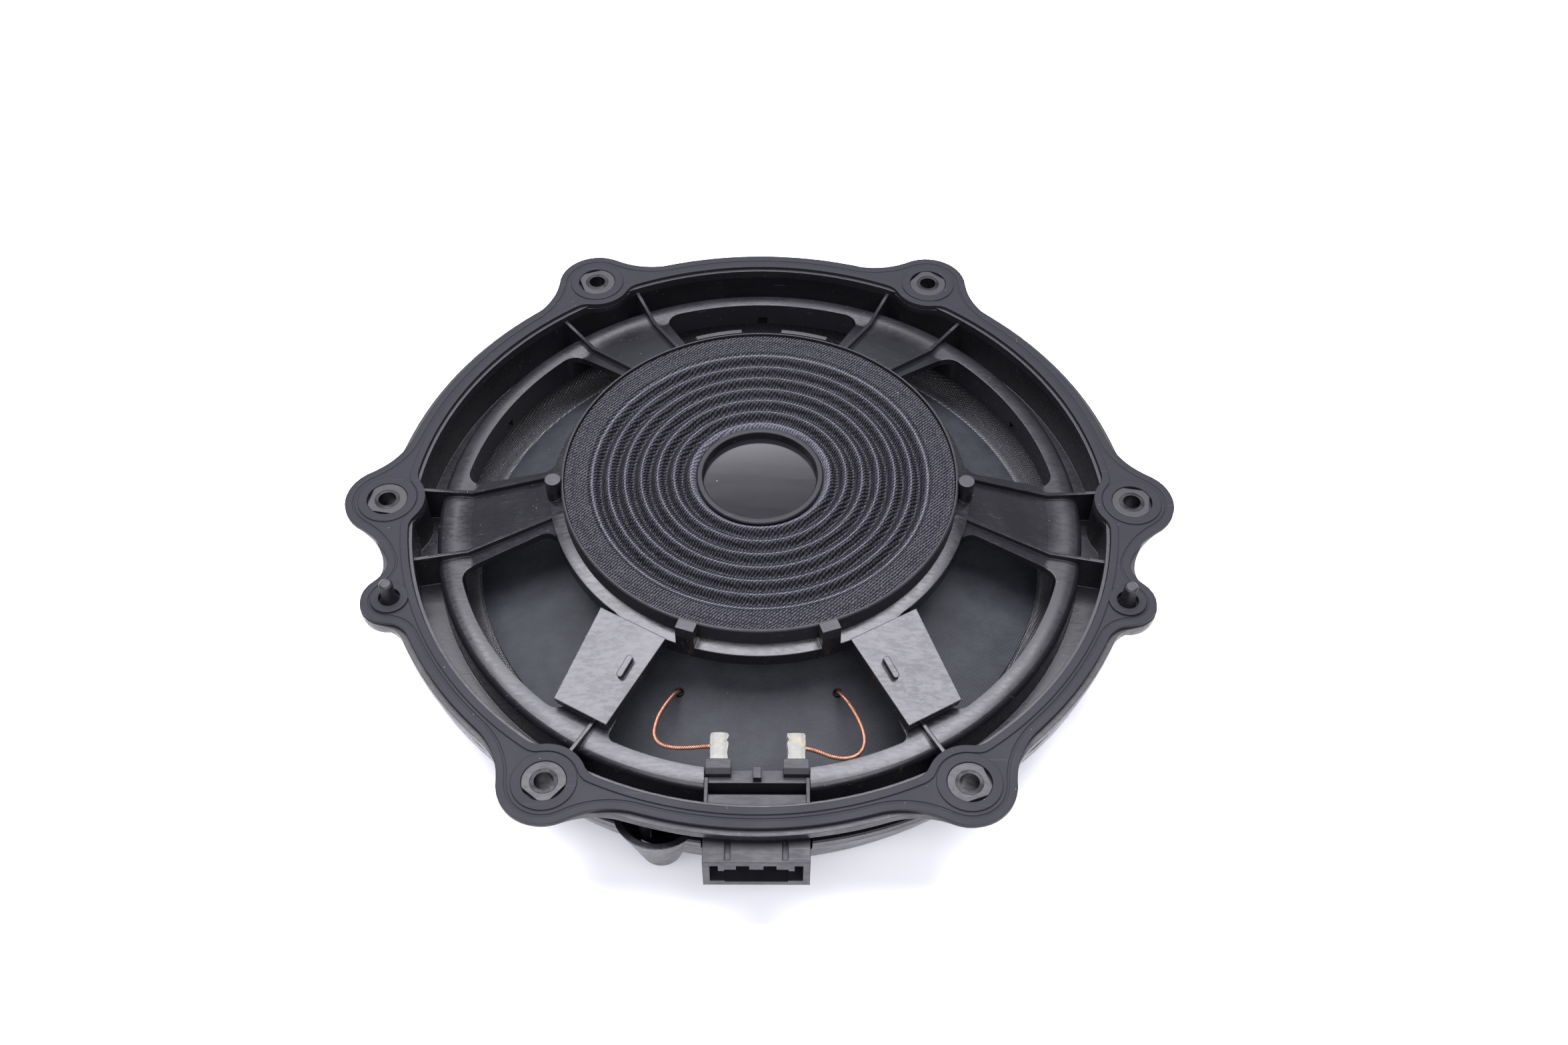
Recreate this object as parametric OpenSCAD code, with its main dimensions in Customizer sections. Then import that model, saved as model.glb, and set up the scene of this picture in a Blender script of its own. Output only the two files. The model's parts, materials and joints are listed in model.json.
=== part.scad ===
// Shallow car subwoofer driver, lying cone side down with its spider side up.
// Origin: centre of the six screw holes on the gasket's mating face. +Z points to the spider side,
// +X to the right, and the cable connector leaves towards -Y.

/* [Mounting flange] */
// Diameter of the circle through the six screw holes
bolt_circle_d = 230; // [229:0.5:231]
// Diameter of the bore in each screw sleeve
screw_hole_d = 5.4; // [5:0.1:5.8]
// Radius of the gasket at a screw ear
screw_ear_r = 13; // [12.5:0.25:13.5]
// Radius of the gasket at a locating pin
pin_ear_r = 8.6; // [8.3:0.1:8.9]
// Angle of each locating pin below the X axis
pin_angle = 19.4; // [18.5:0.1:20.5]
// Diameter of a locating pin
pin_d = 4.1; // [3.8:0.1:4.4]
// Radius of the gasket's round edge between its ears
gasket_r = 113.6; // [113.2:0.1:114]
// Radius of the gasket's inner edge
gasket_inner_r = 107.6; // [107.5:0.1:108]
// Radius of the plastic flange between its ears
flange_r = 115.3; // [115:0.1:116]
// Thickness of the plastic flange
flange_t = 2.3; // [2:0.1:3]
// Thickness of the rubber gasket
gasket_t = 1.9; // [1.5:0.1:2]

/* [Basket] */
// Height of the gutter's floor
gutter_z = -16; // [-16.5:0.5:-15.5]
// Outer radius of the six windows
window_r = 93.3; // [93:0.1:94]
// Height of the window ring's top
window_ring_z = -5; // [-5.2:0.1:-4.8]
// Angle of the side spokes below the X axis
side_spoke_angle = 4; // [3.5:0.1:4.5]
// Angle of the far spokes above the X axis
far_spoke_angle = 58.4; // [57.5:0.1:59]
// Thickness of the blade ribs
rib_t = 1.1; // [0.8:0.1:1.5]
// Height of the ledge round the spider ring
ledge_z = 8; // [7.8:0.1:8.2]
// Radius of that ledge's outer edge
ledge_r = 63.7; // [63.5:0.1:63.9]

/* [Suspension] */
// Radius of the spider's outer edge
spider_r = 59; // [58.8:0.1:59]
// Height of the spider's flat border
spider_z = 13; // [12.9:0.1:13.1]
// Number of corrugations in the spider
spider_waves = 6; // [5:1:7]
// Depth of each corrugation
spider_wave_h = 2; // [1.6:0.1:2.2]
// Depth of the surround's roll
roll_depth = 7; // [6.5:0.1:7.2]

/* [Cone and coil] */
// Radius of the cone's outer edge
cone_r = 88; // [87.5:0.1:88.2]
// Fall of the cone's rear surface for each millimetre outwards
cone_slope = 0.36; // [0.35:0.01:0.37]
// Thickness of the cone
cone_t = 0.9; // [0.7:0.1:1.1]
// Outer diameter of the coil former
former_d = 38; // [37.9:0.1:38.1]
// Length of the voice coil's winding
coil_l = 13; // [12:0.5:13]
// Outer radius of the cap ring
cap_r = 19.3; // [19.2:0.1:19.5]
// Height of the cap ring's top
cap_z = 12.1; // [12:0.1:12.3]

/* [Motor] */
// Radius of the yoke cup
yoke_r = 26.5; // [26:0.5:28]
// Radius of the magnet
magnet_r = 16.8; // [16:0.1:17]
// Thickness of the magnet
magnet_t = 12; // [11:0.5:12]
// Thickness of the top plate
top_plate_t = 6; // [5:0.5:6]

/* [Front frame] */
// Depth of the driver in front of the gasket's face
front_depth = 44; // [43.5:0.5:45]
// Radius of the front ring's foot
foot_r = 99.3; // [99:0.1:100]
// Radius of the front ring's lip
lip_r = 113.4; // [113:0.1:113.6]

/* [Connector] */
// Width of the connector housing
socket_w = 28.8; // [28.4:0.1:29.2]
// Width of the socket's cavity
cavity_w = 25; // [24.6:0.1:25.4]
// Height of the connector's mouth below the mating face
socket_low_z = -18.1; // [-18.6:0.1:-17.8]
// Distance from the axis to the connector's mouth
socket_y = 121; // [120:0.5:122]

/* [Hidden] */
$fn = 96;

eps = 0.05;
bolt_r = bolt_circle_d / 2;
screw_angles = [0, 60, 120, 180, 240, 300];
pin_angles = [-pin_angle, 180 + pin_angle];
spoke_angles = [-side_spoke_angle, far_spoke_angle, 180 - far_spoke_angle, 180 + side_spoke_angle];

// Flange
ear_blend_r = 25;
pin_blend_r = 9;
boss_r = 11.6;
flange_ear_r = 11.8;
flange_pin_ear_r = 8.9;
pin_boss_z = -5.5;
boss_blend_r = 6;
flange_z = -gasket_t;
flange_low_z = flange_z - flange_t;
sleeve_r = 3.8;
sleeve_low_z = -9;
key_r = 6.1;
gasket_lip_w = 2.2;
gasket_lip_h = 0.5;
groove_inset = 2.2;
groove_w = 0.7;
groove_depth = 0.3;
pin_foot_z = 1.5;
pin_top_z = 7;
pin_chamfer = 0.6;
pin_hole_r = 3.2;
pin_bead_r = 5.5;

// Basket
wall_in_r = 106.4;
wall_out_r = 107.5;
shoulder_r = 100;
skin = 2.4;
skirt_low_z = -14;
spoke_half = 10.5;
rib_half = 7.5;
rib_z = -3.2;
dish_r = 90;
dish_slope = 0.383;
ledge_drop = 1.1;
window_in_r = ledge_r - 0.2;
spoke_drop = 1.5;
lower_plate_inner_w = 22;
lower_plate_outer_w = 17.6;
lower_plate_pos = [-35.7, -52.4];
lower_plate_turn = 240.2;
lower_plate_l = 29.4;
lower_plate_tilt = 16.8;
lower_plate_t = 4.6;
lower_rib_angle = 239.7;
post_r = 2.4;
post_top_z = 14.7;
keeper_top_z = 12.9;
tab_angle = 19;

// Spider ring and its seat
rim_out_r = 60;
rim_in_r = 59.2;
rim_top_z = 13.9;
seat_in_r = 52.6;
seat_z = 12.1;
glue_t = 0.25;
spider_t = 0.6;
border_in_r = 52.4;
crest_in_r = 21.1;
crest_out_r = 50.7;
crest_z = 12.2;
neck_z = 10.5;
neck_out_r = cap_r + 0.1;

// Surround
flange_seat_z = -19.4;
surround_t = 0.9;
roll_in_r = 88.5;
roll_out_r = 101.7;
roll_z = -22.2;
surround_out_r = 105.6;

// Cone, measured on its rear surface
cone_z = -22.5;
neck_r = 19.35;
eyelet_pos = [23, -61.5];

// Coil and motor
former_t = 0.3;
coil_t = 0.9;
gap_z = -19.5;
former_low_z = gap_z - coil_l / 2 - 0.5;
former_top_z = 10.6;
top_plate_r = 18.1;
gap_out_r = 20.8;
motor_top_z = gap_z + top_plate_t / 2;
magnet_z = motor_top_z - top_plate_t - magnet_t;
bridge_top_z = -front_depth + 3.5;
motor_screw_ring_r = 12;
bridge_screw_ring_r = 94.4;
bridge_in_r = 91.2;
screw_room_r = 6;

// Connector
carrier_z = -3.9;
block_z = -3;
socket_top_z = -5.7;
tab_x = 10.7;

// Routes of the two bare tinsel leads, from the cone to the terminal tabs
lead_d = 1.3;
left_route = [
    [-23, -61.5, -14.2], [-23.3, -62.4, -12.6], [-24.1, -64.4, -10.9], [-25.4, -67.2, -9.6],
    [-26.8, -70.3, -8.7], [-28.1, -73.7, -8.1], [-28.8, -77, -7.6], [-29, -80, -7.1],
    [-28.3, -82.5, -6.6], [-26.6, -84.4, -6.2], [-24, -85.4, -5.8], [-21, -85.9, -5.4],
    [-17.5, -85.9, -5.1], [-15, -85.8, -4.8], [-13.1, -85.8, -4.7]
];
right_route = [
    [23, -61.5, -14.2], [23.3, -62.5, -12.6], [24.2, -64.6, -10.9], [25.6, -67.6, -9.6],
    [27.4, -71.7, -8.7], [28.9, -75.8, -8.1], [29.8, -79.7, -7.5], [29.9, -83, -7],
    [29, -86, -6.5], [27, -88.1, -6.1], [24, -89, -5.7], [20.5, -88.6, -5.4],
    [17.5, -87.5, -5.1], [15.2, -86.8, -4.8], [13.2, -86.4, -4.7]
];

function polar(r, a) = [r * cos(a), r * sin(a)];
function arc(c, r, a0, a1, n = 8) = [for (i = [0:n]) c + polar(r, a0 + (a1 - a0) * i / n)];
function near(a, b) = abs((a - b + 540) % 360 - 180);
function rib_height(r) = rib_z + max(0, dish_r - r) * dish_slope;
function floor_height(r) = rib_height(r) - spoke_drop - 0.3;

// Outer edge at one angle from an ear's axis, with a concave blend of radius rb to the ring r0
function ear_edge(phi, re, rb, r0) =
    let (d1 = r0 + rb, d2 = re + rb,
         a = acos((d1 * d1 + bolt_r * bolt_r - d2 * d2) / (2 * d1 * bolt_r)),
         f = polar(d1, a), t = [bolt_r, 0] + (f - [bolt_r, 0]) * re / d2, phi2 = atan2(t[1], t[0]))
    phi > a ? r0
    : phi > phi2 ? d1 * cos(a - phi) - sqrt(max(0, rb * rb - pow(d1 * sin(a - phi), 2)))
    : bolt_r * cos(phi) + sqrt(max(0, re * re - pow(bolt_r * sin(phi), 2)));

// Inner edge beside a screw boss, which bulges inwards
function boss_edge(phi, re, rb, r0) =
    let (d1 = r0 - rb, d2 = re + rb,
         a = acos((d1 * d1 + bolt_r * bolt_r - d2 * d2) / (2 * d1 * bolt_r)),
         f = polar(d1, a), t = [bolt_r, 0] + (f - [bolt_r, 0]) * re / d2, phi2 = atan2(t[1], t[0]))
    phi > a ? r0
    : phi > phi2 ? d1 * cos(a - phi) + sqrt(max(0, rb * rb - pow(d1 * sin(a - phi), 2)))
    : bolt_r * cos(phi) - sqrt(max(0, re * re - pow(bolt_r * sin(phi), 2)));

function outer_edge(a, r0, re, rp, inset) = max(concat(
    [for (e = screw_angles) ear_edge(near(a, e), re - inset, ear_blend_r + inset, r0 - inset)],
    [for (e = pin_angles) ear_edge(near(a, e), rp - inset, pin_blend_r + inset, r0 - inset)]));
function inner_edge(a, r0, grow) =
    min([for (e = screw_angles) boss_edge(near(a, e), boss_r + grow, boss_blend_r, r0 - grow)]);

// Angles round the flange, close together at the ears and wider along the plain ring
function at_ear(a) =
    min([for (e = screw_angles) near(a, e)]) < 13 || min([for (e = pin_angles) near(a, e)]) < 9;
edge_angles = [for (i = [0:449]) if (at_ear(0.8 * i) || i % 3 == 0) 0.8 * i];

module flange_outline() {
    polygon([for (a = edge_angles) polar(outer_edge(a, flange_r, flange_ear_r, flange_pin_ear_r, 0), a)]);
}

module gasket_outline(inset = 0) {
    polygon([for (a = edge_angles) polar(outer_edge(a, gasket_r, screw_ear_r, pin_ear_r, inset), a)]);
}

module inner_outline(r0, grow = 0) {
    polygon([for (a = edge_angles) polar(inner_edge(a, r0, grow), a)]);
}

module ring(r_in, r_out, z0, z1) {
    difference() {
        translate([0, 0, z0]) cylinder(r = r_out, h = z1 - z0);
        translate([0, 0, z0 - 1]) cylinder(r = r_in, h = z1 - z0 + 2);
    }
}

module at_angle(r, a, z = 0) {
    rotate([0, 0, a]) translate([r, 0, z]) children();
}

module both_sides() {
    children();
    mirror([1, 0, 0]) children();
}

// Extrudes a profile of [radius, height] points across the radial plane at one angle
module blade(a, thickness, profile) {
    rotate([0, 0, a]) rotate([90, 0, 0]) translate([0, 0, -thickness / 2])
        linear_extrude(thickness) polygon(profile);
}

// Sector between two radii with rounded corners
module window_outline(a0, a1, r0, r1, rc) {
    d1 = asin(rc / (r1 - rc));
    d0 = asin(rc / (r0 + rc));
    polygon(concat(
        arc([0, 0], r1, a0 + d1, a1 - d1, 24),
        arc(polar(r1 - rc, a1 - d1), rc, a1 - d1, a1 + 90, 8),
        arc(polar(r0 + rc, a1 - d0), rc, a1 + 90, a1 + 180 - d0, 8),
        arc([0, 0], r0, a1 - d0, a0 + d0, 24),
        arc(polar(r0 + rc, a0 + d0), rc, a0 + 180 + d0, a0 + 270, 8),
        arc(polar(r1 - rc, a0 + d1), rc, a0 - 90, a0 + d1, 8)));
}

// Closed skin that sweeps a regular polygon along a route of points
module swept_tube(route, d, sides = 8) {
    n = len(route);
    function unit(v) = v / norm(v);
    function along(i) = unit(route[min(i + 1, n - 1)] - route[max(i - 1, 0)]);
    function across(i) = unit(cross(along(i), [0, 0, 1]));
    rings = [for (i = [0:n - 1]) for (k = [0:sides - 1])
        route[i] + d / 2 * (across(i) * cos(k * 360 / sides)
            + cross(across(i), along(i)) * sin(k * 360 / sides))];
    sides_faces = [for (i = [0:n - 2]) for (k = [0:sides - 1])
        let (m = (k + 1) % sides)
            [i * sides + k, i * sides + m, (i + 1) * sides + m, (i + 1) * sides + k]];
    first = [for (k = [0:sides - 1]) sides - 1 - k];
    last = [for (k = [0:sides - 1]) (n - 1) * sides + k];
    polyhedron(rings, concat([first, last], sides_faces));
}

// ---------- Basket ----------

module flange_plate() {
    translate([0, 0, flange_low_z]) linear_extrude(flange_t) difference() {
        flange_outline();
        circle(r = wall_out_r - 0.5);
    }
}

// Inward bulges of the gutter's wall beside the screws
module boss_bulges() {
    translate([0, 0, gutter_z - 1]) linear_extrude(flange_z - gutter_z + 1) difference() {
        circle(r = wall_out_r - 0.3);
        inner_outline(wall_in_r + 0.3);
    }
}

// Turned section through the dish, the window ring, the gutter and the outer wall
module basket_body() {
    rotate_extrude() polygon(concat(
        [[57.2, 3.2], [57.2, ledge_z], [rim_out_r, ledge_z], [ledge_r, ledge_z - ledge_drop],
         [ledge_r, floor_height(ledge_r)], [dish_r, floor_height(dish_r)]],
        arc([94.1, window_ring_z - 12], 12, 90, 70, 4),
        arc([97.25, window_ring_z - 3.1], 2.55, 64, 10, 5),
        [[shoulder_r, gutter_z], [wall_in_r, gutter_z], [wall_in_r, -1], [wall_out_r, -1],
         [wall_out_r, gutter_z - 2], [106.2, gutter_z - 2], [106.2, flange_seat_z], [101, flange_seat_z],
         [101, gutter_z - 2], [98.2, gutter_z - 2], [97.6, -9], [95.4, -8], [95.4, skirt_low_z],
         [window_r - 0.8, skirt_low_z], [window_r - 0.8, window_ring_z - skin],
         [dish_r, floor_height(dish_r) - skin], [ledge_r, floor_height(ledge_r) - skin]]));
}

module windows() {
    spans = [
        [far_spoke_angle + spoke_half, 180 - far_spoke_angle - spoke_half],
        [spoke_half - side_spoke_angle, far_spoke_angle - spoke_half],
        [180 - far_spoke_angle + spoke_half, 180 + side_spoke_angle - spoke_half],
        [180 + side_spoke_angle + spoke_half, 233.5],
        [306.5, 360 - side_spoke_angle - spoke_half]
    ];
    translate([0, 0, -20.5]) linear_extrude(40) {
        for (s = spans) window_outline(s[0], s[1], window_in_r, window_r, 5);
        window_outline(243, 297, window_in_r, window_r, 2.5);
    }
}

// Blade rib that runs down a spoke and across the gutter to the outer wall
module spoke_rib(a) {
    rib_in_r = rim_out_r + 0.2;
    blade(a, rib_t, [[rib_in_r, rib_height(rib_in_r)], [dish_r, rib_z], [wall_in_r + 0.5, rib_z],
        [wall_in_r + 0.5, gutter_z - 0.5], [shoulder_r - 2, gutter_z - 0.5], [shoulder_r - 3, -8],
        [dish_r, floor_height(dish_r) - 1], [rib_in_r, floor_height(rib_in_r) - 1]]);
}

// Flat plate on a near spoke, with a raised key on it
module lower_plate() {
    translate([lower_plate_pos[0], lower_plate_pos[1], ledge_z - 0.6]) rotate([0, 0, lower_plate_turn])
        rotate([0, lower_plate_tilt, 0]) translate([0, 0, -lower_plate_t]) {
            linear_extrude(lower_plate_t) polygon([[0, -lower_plate_inner_w / 2],
                [lower_plate_l, -lower_plate_outer_w / 2], [lower_plate_l, lower_plate_outer_w / 2],
                [0, lower_plate_inner_w / 2]]);
            translate([12.6, 5.2, lower_plate_t - eps]) linear_extrude(1.9) {
                for (x = [-2.6, 2.6]) translate([x, 0]) circle(r = 0.9);
                square([5.2, 1.8], center = true);
            }
        }
    blade(lower_rib_angle, rib_t, [[88, rib_z], [104.6, rib_z], [104.6, gutter_z - 0.5],
        [shoulder_r - 2, gutter_z - 0.5], [shoulder_r - 3, -8], [88, -6]]);
    blade(222, 0.8, [[104.5, -11], [wall_in_r + 0.5, -8], [wall_in_r + 0.5, gutter_z - 0.5],
        [104.5, gutter_z - 0.5]]);
}

// Screw boss under an ear, keyed where it comes up through the gasket
module screw_boss(a) {
    at_angle(bolt_r, a) difference() {
        union() {
            translate([0, 0, sleeve_low_z]) cylinder(r = 8, h = flange_low_z - sleeve_low_z + eps);
            intersection() {
                translate([0, 0, flange_z - eps]) cylinder(r = key_r, h = gasket_t - 0.15);
                rotate([0, 0, -10]) translate([-key_r, -key_r, flange_z - 1]) cube([11.4, 11.4, 4]);
            }
        }
        translate([0, 0, sleeve_low_z - 1]) cylinder(r = sleeve_r, h = 20);
    }
}

// Pin that stands up through the gasket's hole on a tapered foot
module locating_pin(a) {
    r = pin_d / 2;
    shoulder_z = pin_top_z - pin_chamfer;
    at_angle(bolt_r, a) {
        translate([0, 0, flange_z - 1]) cylinder(r1 = r + 1, r2 = r, h = pin_foot_z - flange_z + 1);
        translate([0, 0, pin_foot_z - eps]) cylinder(r = r, h = shoulder_z - pin_foot_z + eps);
        translate([0, 0, shoulder_z]) cylinder(r1 = r, r2 = r - pin_chamfer, h = pin_chamfer);
        translate([0, 0, pin_boss_z]) cylinder(r = flange_pin_ear_r - 0.2, h = flange_z - pin_boss_z - 1);
    }
}

// Posts, blocks and arcs that stand on the ledge and hold the spider ring
module ring_keepers() {
    for (a = [-4.3, 184.3]) at_angle(62.3, a, ledge_z - 1) {
        cylinder(r = post_r, h = post_top_z - ledge_z + 1);
        translate([0, 0.3 - post_r, 0]) cube([1.6, 2 * post_r - 0.6, post_top_z - ledge_z - 0.8]);
    }
    for (a = [270 - tab_angle, 270 + tab_angle]) at_angle(0, a)
        translate([rim_out_r + 0.1, -2.75, ledge_z - 2]) cube([3.4, 5.5, post_top_z - ledge_z + 2]);
    for (a = [[70, 84], [96, 110]]) translate([0, 0, ledge_z - 1])
        rotate([0, 0, a[0]]) rotate_extrude(angle = a[1] - a[0])
            translate([rim_out_r + 1.1, 0]) square([1.5, keeper_top_z - ledge_z + 1]);
}

module basket() {
    color([0.13, 0.13, 0.145]) difference() {
        union() {
            flange_plate();
            difference() {
                basket_body();
                windows();
                for (a = [27, 90, 153]) at_angle(92, a, skirt_low_z - 1)
                    translate([0, -1.7, 0]) cube([5, 3.4, 4.2]);
            }
            for (a = spoke_angles) {
                spoke_rib(a - rib_half);
                spoke_rib(a + rib_half);
            }
            both_sides() lower_plate();
            boss_bulges();
            for (a = screw_angles) screw_boss(a);
            for (a = pin_angles) locating_pin(a);
            ring_keepers();
            // Lug under the flange beside the connector
            at_angle(111.8, 254.3, -15) cylinder(r1 = 1.6, r2 = 2.2, h = 15 + flange_low_z + eps);
        }
        for (a = screw_angles) at_angle(bolt_r, a, -20) cylinder(r = sleeve_r, h = 30);
        // Room for the gasket where it covers the top of a bulge
        translate([0, 0, flange_z]) linear_extrude(2) difference() {
            circle(r = wall_out_r + 1);
            inner_outline(gasket_inner_r - 0.04);
        }
        // Passage for the connector under the flange, through the wall and the window ring
        translate([-socket_w / 2 - 0.1, -109, -17]) cube([socket_w + 0.2, 13.4, 17 + flange_low_z]);
        translate([-socket_w / 2 - 0.1, -105.5, -17]) cube([socket_w + 0.2, 13.4, 20]);
    }
}

// ---------- Flange hardware ----------

module mounting_gasket() {
    color([0.2, 0.2, 0.215]) difference() {
        union() {
            translate([0, 0, flange_z]) linear_extrude(gasket_t - gasket_lip_h) gasket_outline();
            translate([0, 0, -gasket_lip_h - eps]) linear_extrude(gasket_lip_h + eps)
                inner_outline(gasket_inner_r, -gasket_lip_w);
            for (a = screw_angles) at_angle(bolt_r, a, -gasket_lip_h - eps)
                cylinder(r = 9, h = gasket_lip_h + eps);
            for (a = pin_angles) at_angle(bolt_r, a, -gasket_lip_h - eps)
                cylinder(r = pin_bead_r, h = gasket_lip_h + eps + 0.3);
        }
        translate([0, 0, flange_z - 1]) linear_extrude(4) inner_outline(gasket_inner_r);
        // Shallow groove that follows the outer edge
        translate([0, 0, -gasket_lip_h - groove_depth]) linear_extrude(1) difference() {
            gasket_outline(groove_inset);
            gasket_outline(groove_inset + groove_w);
        }
        for (a = screw_angles) at_angle(bolt_r, a, flange_z - 1) cylinder(r = key_r + 0.15, h = 4);
        for (a = pin_angles) at_angle(bolt_r, a, flange_z - 1) cylinder(r = pin_hole_r, h = 4);
    }
}

module mounting_sleeves() {
    color([0.62, 0.6, 0.55]) for (a = screw_angles)
        at_angle(bolt_r, a) ring(screw_hole_d / 2, sleeve_r, sleeve_low_z, -0.1);
}

// ---------- Front frame ----------

// Skirt from the lip under the flange down to the foot, with the shelf that clamps the surround
module front_ring() {
    shelf_z = flange_seat_z - surround_t;
    color([0.12, 0.12, 0.13]) difference() {
        union() {
            rotate_extrude() polygon([[lip_r - 1.4, -10.6], [lip_r - 0.4, -10.6], [lip_r, -11],
                [lip_r, -13.4], [111.6, -17], [108.9, -24], [105.2, -33], [101.3, -41],
                [foot_r, -front_depth], [foot_r - 1.7, -front_depth], [foot_r - 1.7, -42.2],
                [bridge_in_r, -42.2], [bridge_in_r, -40.2], [99.4, -40.2], [103.2, -32.4],
                [106.4, shelf_z - 2], [102.4, shelf_z - 2], [102.4, shelf_z], [107.6, shelf_z],
                [109.6, -16.4], [lip_r - 1.8, -12.6]]);
            for (a = screw_angles) {
                at_angle(bridge_screw_ring_r, a + 30, -41) cylinder(r = 3, h = 3);
                screw_pocket(a);
            }
            difference() {
                lobe(12.6, -10.6, 6, 0);
                lobe(10.9, -10, 4.4, 1);
                translate([0, 0, -50]) cylinder(r = 107.8, h = 60);
            }
        }
        // The skirt is open inside the lobe and below each screw ear
        lobe(10.9, -10, 4.4, 1);
        for (a = screw_angles) at_angle(bolt_r, a, -30) cylinder(r = screw_room_r, h = 30);
        translate([-socket_w / 2 - 0.6, -125, -19]) cube([socket_w + 1.2, 30, 20]);
        for (a = screw_angles) at_angle(bridge_screw_ring_r, a + 30, -43) cylinder(r = 1.5, h = 8);
    }
}

// Wall round the room for a mounting screw's head, inside the skirt
module screw_pocket(a) {
    intersection() {
        at_angle(bolt_r, a, -28) cylinder(r = screw_room_r + 1.3, h = 17.4);
        translate([0, 0, -28]) cylinder(r1 = 107.2, r2 = lip_r - 0.4, h = 17.4);
    }
}

// Tapered bulge of the skirt beside the connector
module lobe(r_top, z_top, r_low, inset) {
    at_angle(105.6, 255.2, -32 + inset) cylinder(r1 = r_low, r2 = r_top, h = z_top + 32 - inset);
}

module motor_bridge() {
    color([0.12, 0.12, 0.13]) difference() {
        union() {
            ring(bridge_in_r, foot_r - 1.8, -front_depth, -42.2);
            for (a = screw_angles) rotate([0, 0, a + 30]) translate([28, -4.5, -front_depth])
                cube([65, 9, 1.8]);
            for (a = screw_angles) rotate([0, 0, a + 30]) translate([28, -1.2, -front_depth])
                cube([62.8, 2.4, 3.5]);
            translate([0, 0, -front_depth]) cylinder(r = 30, h = 3.5);
            ring(yoke_r + 0.1, 30, -front_depth, bridge_top_z + 3);
        }
        for (a = screw_angles) at_angle(bridge_screw_ring_r, a + 30, -45) {
            cylinder(r = 1.7, h = 6);
            cylinder(r = 2.6, h = 1.9);
        }
        for (a = [90, 210, 330]) at_angle(motor_screw_ring_r, a, -45) cylinder(r = 2.1, h = 6);
        translate([0, 0, -45]) cylinder(r = 5, h = 6);
    }
}

// Pan-head screw standing on its head at the origin, with a cross recess
module screw(head_r, head_h, shank_r, shank_l) {
    difference() {
        union() {
            cylinder(r = head_r, h = head_h);
            cylinder(r = shank_r, h = head_h + shank_l);
        }
        for (a = [0, 90]) rotate([0, 0, a]) translate([-head_r * 0.6, -0.35, -1])
            cube([head_r * 1.2, 0.7, 1 + head_h / 2]);
    }
}

module bridge_screws() {
    color([0.45, 0.45, 0.46]) for (a = screw_angles)
        at_angle(bridge_screw_ring_r, a + 30, -front_depth + 0.1) screw(2.4, 0.8, 1.5, 5);
}

module motor_screws() {
    color([0.45, 0.45, 0.46]) for (a = [90, 210, 330])
        at_angle(motor_screw_ring_r, a, -front_depth + 0.2) screw(2, 1.2, 1.9, 5.4);
}

// ---------- Motor ----------

module yoke_cup() {
    color([0.5, 0.5, 0.52]) difference() {
        union() {
            translate([0, 0, bridge_top_z]) cylinder(r = yoke_r, h = motor_top_z - bridge_top_z - 0.8);
            translate([0, 0, motor_top_z - 0.8 - eps])
                cylinder(r1 = yoke_r, r2 = yoke_r - 0.8, h = 0.8 + eps);
        }
        translate([0, 0, magnet_z]) cylinder(r = gap_out_r, h = 60);
        for (a = [90, 210, 330]) at_angle(motor_screw_ring_r, a, -45) cylinder(r = 1.95, h = 9);
    }
}

module magnet() {
    color([0.6, 0.6, 0.62]) translate([0, 0, magnet_z]) cylinder(r = magnet_r, h = magnet_t);
}

module top_plate() {
    color([0.55, 0.55, 0.57]) translate([0, 0, magnet_z + magnet_t])
        cylinder(r = top_plate_r, h = top_plate_t);
}

module shorting_ring() {
    color([0.72, 0.45, 0.3]) ring(magnet_r + 0.1, 17.9, magnet_z + 3, magnet_z + magnet_t - 0.2);
}

// ---------- Suspension ----------

// Ring that stands on the ledge and carries the spider's border, notched for its posts
module spider_ring() {
    color([0.1, 0.1, 0.11]) difference() {
        rotate_extrude() polygon([[58.4, ledge_z], [rim_out_r, ledge_z], [rim_out_r, rim_top_z - 0.4],
            [rim_out_r - 0.4, rim_top_z], [rim_in_r, rim_top_z], [rim_in_r, seat_z], [seat_in_r, seat_z],
            [seat_in_r, seat_z - 1.6], [57.4, seat_z - 1.6], [58.4, seat_z - 2.8]]);
        for (a = [-4.3, 184.3]) at_angle(62.3, a, 0) cylinder(r = post_r + 0.1, h = 20);
    }
}

module spider_glue() {
    color([0.3, 0.27, 0.2]) ring(seat_in_r + 0.5, 58.6, seat_z, seat_z + glue_t);
}

// Height of the top of the spider's cloth at one radius, flat under the cap ring
function spider_top(r) =
    r < neck_out_r ? neck_z
    : r < crest_in_r ? neck_z + (crest_z - neck_z) * sin(90 * (r - neck_out_r) / (crest_in_r - neck_out_r))
    : r < crest_out_r
        ? crest_z - spider_wave_h
            * pow((1 - cos(360 * spider_waves * (r - crest_in_r) / (crest_out_r - crest_in_r))) / 2, 1.5)
    : crest_z + (spider_z - crest_z) * min(1, (r - crest_out_r) / (border_in_r - crest_out_r));

module spider() {
    radii = concat([former_d / 2 + 0.06, neck_out_r], [for (r = [neck_out_r + 0.5:0.45:crest_out_r]) r],
        [border_in_r, seat_in_r + 0.1, spider_r]);
    upper = [for (i = [len(radii) - 1:-1:0]) [radii[i], spider_top(radii[i])]];
    lower = [for (r = radii) [r, spider_top(r) - spider_t]];
    color([0.15, 0.15, 0.17]) rotate_extrude() polygon(concat(lower, upper));
}

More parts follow.
